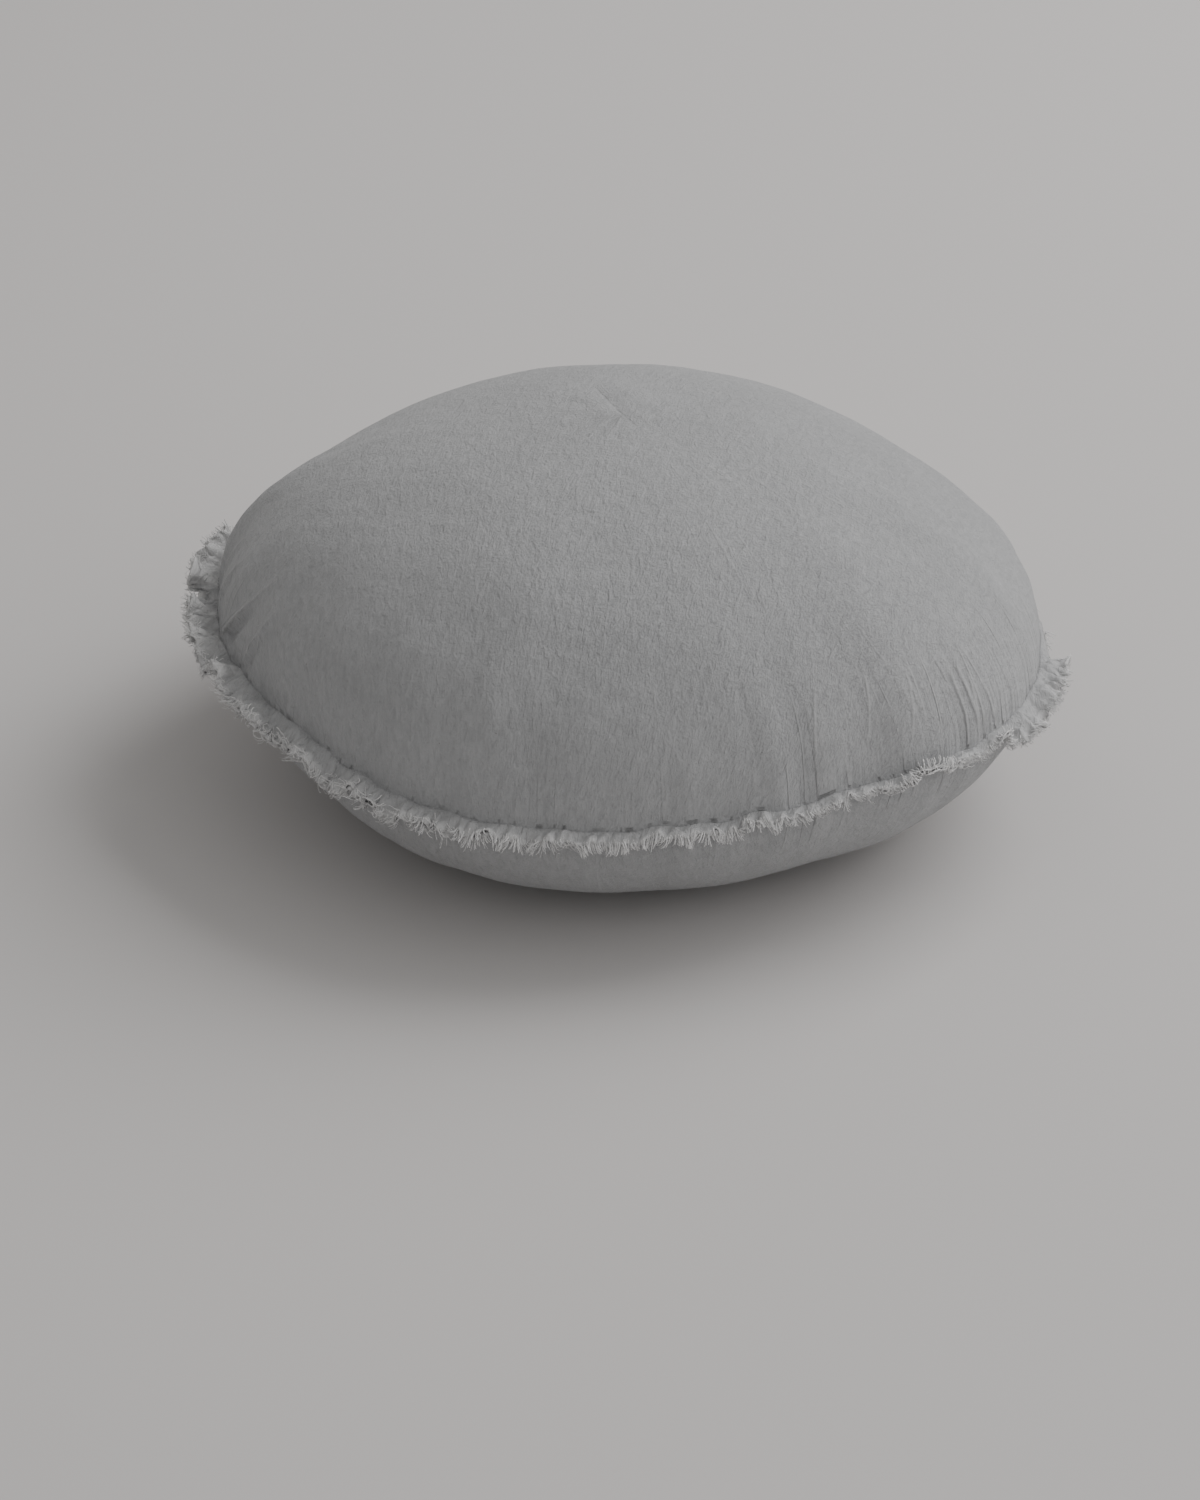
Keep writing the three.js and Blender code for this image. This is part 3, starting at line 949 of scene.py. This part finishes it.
def seam_stitches(material):
    """A row of plain stitches through both margins at their root: short bows of thread on either face."""
    start = np.arange(STITCH_COUNT) * 360 / STITCH_COUNT
    run = np.linspace(0, 1, STITCH_POINTS)
    degrees = start[:, None] + run * 360 / STITCH_COUNT * STITCH_FILL
    share = (TUCK + STITCH_OUT) / (TUCK + around(EDGE, "weave", degrees))
    bow = np.sin(math.pi * run) * STITCH_BOW - STITCH_BITE
    paths = []
    for side in (1, -1):
        path = on_ply(ply_grid(side), degrees, share)
        path[:, :, 2] += side * (PLY_THICKNESS / 2 + STITCH_RADIUS * bow)
        paths.append(path)
    across = np.tile(polar(1.0, np.radians(start), 0.0), (2, 1))
    up = np.zeros_like(across) + [0, 0, 1]
    radius = np.full((2 * STITCH_COUNT, STITCH_POINTS, 1), STITCH_RADIUS)
    points, faces = tubes(np.concatenate(paths), across, up, radius, STITCH_SIDES)
    cloth = polar(SEWN_RADIUS, np.arctan2(points[:, 1], points[:, 0]), 0.0)
    return new_piece("seam_stitches", points, faces, material, {"cloth": cloth})


# Materials

class Wire:
    """A socket that gives a value, a colour or a vector. Arithmetic on values adds Math nodes."""

    def __init__(self, finish, socket):
        self.finish = finish
        self.socket = socket

    def math(self, operation, *inputs):
        return self.finish.add("ShaderNodeMath", {"operation": operation}, dict(enumerate(inputs)))

    def __add__(self, other):
        return self.math("ADD", self, other)

    def __radd__(self, other):
        return self.math("ADD", other, self)

    def __sub__(self, other):
        return self.math("SUBTRACT", self, other)

    def __rsub__(self, other):
        return self.math("SUBTRACT", other, self)

    def __mul__(self, other):
        return self.math("MULTIPLY", self, other)

    def __rmul__(self, other):
        return self.math("MULTIPLY", other, self)

    def __abs__(self):
        return self.math("ABSOLUTE", self)

    def sine(self):
        return self.math("SINE", self)

    def larger(self, other):
        return self.math("MAXIMUM", self, other)

    def smaller(self, other):
        return self.math("MINIMUM", self, other)

    def eased(self, low, high):
        """0 where the value is low, 1 where it is high, with a smooth step between."""
        sockets = {"Value": self, "From Min": low, "From Max": high}
        return self.finish.add("ShaderNodeMapRange", {"interpolation_type": "SMOOTHSTEP"}, sockets)


class Finish:
    """A new material and its nodes."""

    def __init__(self, name):
        self.material = bpy.data.materials.new(name)
        self.material.use_nodes = True
        self.nodes = self.material.node_tree.nodes
        self.surface = self.nodes["Principled BSDF"]

    def add(self, kind, settings, sockets, output=0):
        """Adds one node: first its settings, then a value or a link for each socket named or numbered."""
        node = self.nodes.new(kind)
        for name, value in settings.items():
            setattr(node, name, value)
        self.give(node, sockets)
        return Wire(self, node.outputs[output])

    def give(self, node, sockets):
        for name, value in sockets.items():
            if isinstance(value, Wire):
                self.material.node_tree.links.new(value.socket, node.inputs[name])
            else:
                node.inputs[name].default_value = value

    def attribute(self, name, output):
        return self.add("ShaderNodeAttribute", {"attribute_name": name}, {}, output)

    def noise(self, vector, scale, detail=2.0, roughness=0.5, distortion=0.0):
        """Soft noise from 0 to 1, with about 0.5 in the middle."""
        sockets = {"Scale": scale, "Detail": detail, "Roughness": roughness, "Distortion": distortion}
        return self.add("ShaderNodeTexNoise", {}, {"Vector": vector, **sockets}, "Fac")

    def vector(self, operation, *inputs, output=0):
        return self.add("ShaderNodeVectorMath", {"operation": operation}, dict(enumerate(inputs)), output)

    def turned(self, vector, degrees):
        """The vector turned about Z."""
        rotation = (0, 0, math.radians(degrees))
        return self.add("ShaderNodeMapping", {}, {"Vector": vector, "Rotation": rotation})

    def parts(self, vector):
        """The X, Y and Z of a vector."""
        split = self.add("ShaderNodeSeparateXYZ", {}, {0: vector}).socket.node
        return [Wire(self, split.outputs[name]) for name in "XYZ"]

    def mixed(self, share, first, second):
        """One colour for share 0 and the other for share 1."""
        return self.add("ShaderNodeMix", {"data_type": "RGBA"}, {0: share, 6: first, 7: second}, 2)


# The cloth's grain and the noises that follow it: how often each repeats in a metre across the warp, across
# the weft and from side to side, its detail, roughness and distortion, how much it adds to the tone, and
# how high it stands on a panel and on a raw edge
GRAIN_TURN = 16.0
THREAD_PITCH = 0.00075
WEAVE_HEIGHT = 0.00008
GRAIN_NOISES = {
    "warp slubs": ((1100, 60, 1), 2.0, 0.55, 0.0, 0.5, 0.00014, 0.00014),
    "weft slubs": ((60, 1100, 1), 2.0, 0.55, 0.0, 0.4, 0.00012, 0.00012),
    "streaks": ((420, 30, 1), 3.0, 0.6, 0.0, 0.5, 0.0, 0.0),
    "crepe": ((900, 520, 1), 3.0, 0.6, 0.4, 1.2, 0.00090, 0.00090),
    "crinkles": ((300, 130, 1), 2.0, 0.5, 0.8, 1.6, 0.00115, 0.00215),
}

# Other noises: scale, detail, roughness and distortion
MOTTLE = (14.0, 3.0, 0.6, 0.0)
FLECKS = (420.0, 1.0, 0.5, 0.0)
FINE_RAYS = (3.0, 2.0, 0.5, 0.3)
WIDE_RAYS = (1.0, 1.0, 0.4, 0.5)
RIDGE_PATCHES = (22.0, 1.0, 0.5, 0.0)
YARN_SLUBS = (900.0, 2.0, 0.5, 0.0)

# Fine wrinkles at the seam
RAY_SCALE = 70.0
RAY_LENGTH = 7.0
RIDGE_WIDTH = 0.05
RIDGE_RANGE = (0.42, 0.62)
RIDGE_LEAST = 0.15
WRINKLE_HEIGHT = 0.0015
PRESSED_HEIGHT = 0.0008
UPPER_RANGE = (0.2, 0.6)

# Colours, and how much paler the cloth is painted where it is pressed or creased (a painted highlight),
# raw (partly its open weave, partly painted light) or standing up (painted light)
LINEN_DARK = (0.318, 0.323, 0.331, 1)
LINEN_LIGHT = (0.406, 0.411, 0.420, 1)
LINEN_SPECK = (0.180, 0.170, 0.160, 1)
# The pale colour of an open raw edge, also mixed in as painted light and painted highlight
PALE_AND_HIGHLIGHT = (0.680, 0.680, 0.682, 1)
THREAD_DARK = (0.660, 0.660, 0.664, 1)
THREAD_LIGHT = (0.880, 0.878, 0.876, 1)
MOTTLE_TONE = 0.9
FLECK_RANGE = (0.76, 0.80)
FLECK_TONE = 0.6
# Painted highlight on the ridges of the pressed creases and of the thin creases
PRESSED_HIGHLIGHT = 0.12
CREASE_HIGHLIGHT = 300.0
ROOT_PALE = 0.05
# How much paler a raw margin is painted outwards: partly its open weave, partly painted light in place of
# light caught by and passing through the thin cloth
OUTWARD_PALE_AND_LIGHT = 0.3
EDGE_PALE = 0.4
EDGE_RANGE = (0.65, 1.0)
THREAD_OWN_TONE = 0.7

# What stays the same all over each finish
LINEN_SURFACE = {"Roughness": 0.92, "Specular IOR Level": 0.25, "Sheen Weight": 0.25, "Sheen Roughness": 0.5}
YARN_SURFACE = {"Roughness": 0.95, "Specular IOR Level": 0.2, "Sheen Weight": 0.3, "Sheen Roughness": 0.5}
PAPER_SURFACE = {"Base Color": (0.60, 0.585, 0.58, 1), "Roughness": 0.9, "Specular IOR Level": 0.1}


def weave_height(finish, grain):
    """A plain weave: the warp's rounded threads stand up in every other square of the cloth and the weft's
    in the squares between."""
    x, y, _ = finish.parts(grain)
    across = (x * (math.pi / THREAD_PITCH)).sine()
    along = (y * (math.pi / THREAD_PITCH)).sine()
    check = across * along
    warp = abs(across) * (0.5 + 0.5 * check)
    weft = abs(along) * (0.5 - 0.5 * check)
    return warp.larger(weft)


def seam_wrinkles(finish, cloth, pull):
    """Fine wrinkles that run in from the seam: noise drawn out along the radius, strong where the seam
    pulls. The second value marks thin pressed creases, where a wider noise of this kind passes 0.5; they
    stand up as bumps and get a painted highlight."""
    level = finish.vector("MULTIPLY", cloth, (1, 1, 0))
    length = finish.vector("LENGTH", level, output="Value")
    upright = finish.add("ShaderNodeCombineXYZ", {}, {"Z": length * RAY_LENGTH})
    rim = (SEWN_RADIUS * RAY_SCALE, SEWN_RADIUS * RAY_SCALE, 0)
    rays = finish.vector("MULTIPLY_ADD", finish.vector("NORMALIZE", level), rim, upright)
    wide = finish.noise(rays, *WIDE_RAYS)
    patches = finish.noise(cloth, *RIDGE_PATCHES).eased(*RIDGE_RANGE)
    ridges = 1.0 - abs(wide - 0.5).eased(0.0, RIDGE_WIDTH)
    return finish.noise(rays, *FINE_RAYS) * pull, ridges * patches * (pull + RIDGE_LEAST)


def thin_creases(finish, cloth):
    """Each thin crease is a line bowed as 4t (1 - t), with a rounded section that fades out at its ends, on
    the upper side only."""
    x, y, side = finish.parts(cloth)
    height = side * 0.0
    for crease in THIN_CREASES:
        from_x, from_y, to_x, to_y, bow, width, rise, fade_in, fade_out = (float(value) for value in crease)
        length = math.hypot(to_x - from_x, to_y - from_y)
        heading_x = (to_x - from_x) / length
        heading_y = (to_y - from_y) / length
        share = ((x - from_x) * heading_x + (y - from_y) * heading_y) * (1 / length)
        aside = (y - from_y) * heading_x - (x - from_x) * heading_y - share * (1.0 - share) * (4 * bow)
        line = 1.0 - abs(aside).eased(0.0, width)
        height = height + line * share.eased(0.0, fade_in) * (1.0 - share).eased(0.0, fade_out) * rise
    return height * side.eased(*UPPER_RANGE)


def linen(name, raw_edge):
    """Stonewashed plain-weave linen: slubs along warp and weft, soft crinkles, faint mottling and a few
    specks. A raw edge gets lighter and looser outwards, the lighter partly for its open weave and partly as
    painted light, and is painted lighter where it stands up. A panel is wrinkled where its seam pulls, and
    the ridges of its pressed and thin creases are painted paler as a painted highlight."""
    finish = Finish(name)
    cloth = finish.attribute("cloth", "Vector")
    grain = finish.turned(cloth, GRAIN_TURN)
    tone = (finish.noise(cloth, *MOTTLE) - 0.5) * MOTTLE_TONE + 0.5
    height = weave_height(finish, grain) * WEAVE_HEIGHT
    for scale, detail, roughness, distortion, share, panel_rise, raw_rise in GRAIN_NOISES.values():
        noise = finish.noise(finish.vector("MULTIPLY", grain, scale), 1.0, detail, roughness, distortion)
        rise = raw_rise if raw_edge else panel_rise
        tone = tone + (noise - 0.5) * share
        if rise:
            height = height + noise * rise
    if raw_edge:
        # A raw edge is painted paler outwards, partly for its open weave and partly as painted light, and
        # paler where it stands up as painted light
        raw = finish.attribute("raw", "Fac")
        standing_light = finish.attribute("standing_light", "Fac")
        pale_and_lit = raw.eased(0.0, 1.0) * OUTWARD_PALE_AND_LIGHT + raw.eased(*EDGE_RANGE) * EDGE_PALE + standing_light + ROOT_PALE
    else:
        # The ridges of the pressed and thin creases are painted paler: a painted highlight
        wrinkles, pressed = seam_wrinkles(finish, cloth, finish.attribute("pull", "Fac"))
        creases = thin_creases(finish, cloth)
        pale_and_lit = pressed * PRESSED_HIGHLIGHT + creases * CREASE_HIGHLIGHT
        height = height + wrinkles * WRINKLE_HEIGHT + pressed * PRESSED_HEIGHT + creases
    colour = finish.mixed(tone, LINEN_DARK, LINEN_LIGHT)
    flecks = finish.noise(cloth, *FLECKS).eased(*FLECK_RANGE)
    colour = finish.mixed(flecks * FLECK_TONE, colour, LINEN_SPECK)
    # Mixes in the pale colour: an open raw edge, painted light and painted highlights
    colour = finish.mixed(pale_and_lit.smaller(1.0), colour, PALE_AND_HIGHLIGHT)
    normal = finish.add("ShaderNodeBump", {}, {"Height": height, "Distance": 1.0, "Strength": 1.0})
    finish.give(finish.surface, {"Base Color": colour, "Normal": normal, **LINEN_SURFACE})
    return finish.material


def loose_thread(name):
    """Linen yarn: paler than the cloth, each thread a little different, with soft slubs along it."""
    finish = Finish(name)
    shade = finish.attribute("shade", "Fac")
    slub = finish.noise(finish.attribute("cloth", "Vector"), *YARN_SLUBS)
    tone = THREAD_OWN_TONE * shade + (1 - THREAD_OWN_TONE) * slub
    colour = finish.mixed(tone, THREAD_DARK, THREAD_LIGHT)
    finish.give(finish.surface, {"Base Color": colour, **YARN_SURFACE})
    return finish.material


# The studio
CAMERA_ELEVATION = 28.0
CAMERA_DISTANCE = 1.909
FOCAL_LENGTH = 85.0
SENSOR_HEIGHT = 36.0
AIM_LEFT = 0.0172
AIM_DOWN = 0.0636
FLOOR_HALF = 6.0
SKY_COLOUR = (1.0, 0.985, 0.965, 1)
SKY_STRENGTH = 0.43
LAMP_SIZE = 3.0
LAMP_COLOUR = (1.0, 0.99, 0.985)
# The soft lamps: where each stands and its power in watts
LAMPS = {
    "key": ((2.4, 1.6, 2.8), 117.0),
    "side": ((3.2, 0.2, 2.0), 24.0),
    "fill": ((2.2, -2.4, 1.6), 17.0),
}


def stood(name, data, place, aim):
    """A camera or lamp that stands at one point and faces another."""
    thing = bpy.data.objects.new(name, data)
    thing.location = place
    thing.rotation_euler = (aim - place).to_track_quat("-Z", "Y").to_euler()
    bpy.context.scene.collection.objects.link(thing)
    return thing


def photo_camera():
    """A long lens above the cushion's front, aimed so that the cushion lies where the picture has it."""
    elevation = math.radians(CAMERA_ELEVATION)
    middle = Vector((0, 0, SEAM_HEIGHT))
    towards = Vector((0, -math.cos(elevation), math.sin(elevation)))
    up = Vector((0, math.sin(elevation), math.cos(elevation)))
    aim = middle - Vector((1, 0, 0)) * AIM_LEFT - up * AIM_DOWN
    lens = bpy.data.cameras.new("photo_camera")
    lens.lens = FOCAL_LENGTH
    lens.sensor_fit = "VERTICAL"
    lens.sensor_height = SENSOR_HEIGHT
    place = middle + towards * CAMERA_DISTANCE
    bpy.context.scene.camera = stood("photo_camera", lens, place, aim)


def studio():
    """A plain pale floor, a soft sky all round, and large soft lamps, the main one at the back right."""
    corners = np.array([(-1, -1, 0), (1, -1, 0), (1, 1, 0), (-1, 1, 0)]) * FLOOR_HALF
    paper = Finish("floor_paper")
    paper.give(paper.surface, PAPER_SURFACE)
    new_piece("floor", corners, np.array([(0, 1, 2, 3)]), paper.material)
    world = bpy.data.worlds.new("soft_sky")
    world.use_nodes = True
    sky = world.node_tree.nodes["Background"]
    sky.inputs["Color"].default_value = SKY_COLOUR
    sky.inputs["Strength"].default_value = SKY_STRENGTH
    bpy.context.scene.world = world
    for name, (place, power) in LAMPS.items():
        lamp = bpy.data.lights.new(name, "AREA")
        lamp.size = LAMP_SIZE
        lamp.energy = power
        lamp.color = LAMP_COLOUR
        stood(name, lamp, Vector(place), Vector((0, 0, SEAM_HEIGHT)))


photo_camera()
studio()

panel_linen = linen("panel_linen", False)
margin_linen = linen("margin_linen", True)
yarn = loose_thread("linen_yarn")

cover = cushion_cover(panel_linen)
upper_margin = margin("upper_margin", 1, margin_linen)
lower_margin = margin("lower_margin", -1, margin_linen)
upper_fray = fray("upper_fray", 1, yarn)
lower_fray = fray("lower_fray", -1, yarn)
stitches = seam_stitches(panel_linen)

for piece in (cover, upper_margin, lower_margin, upper_fray, lower_fray, stitches):
    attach(piece, "root")
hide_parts("cushion")
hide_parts("upper_frill")
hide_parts("lower_frill")
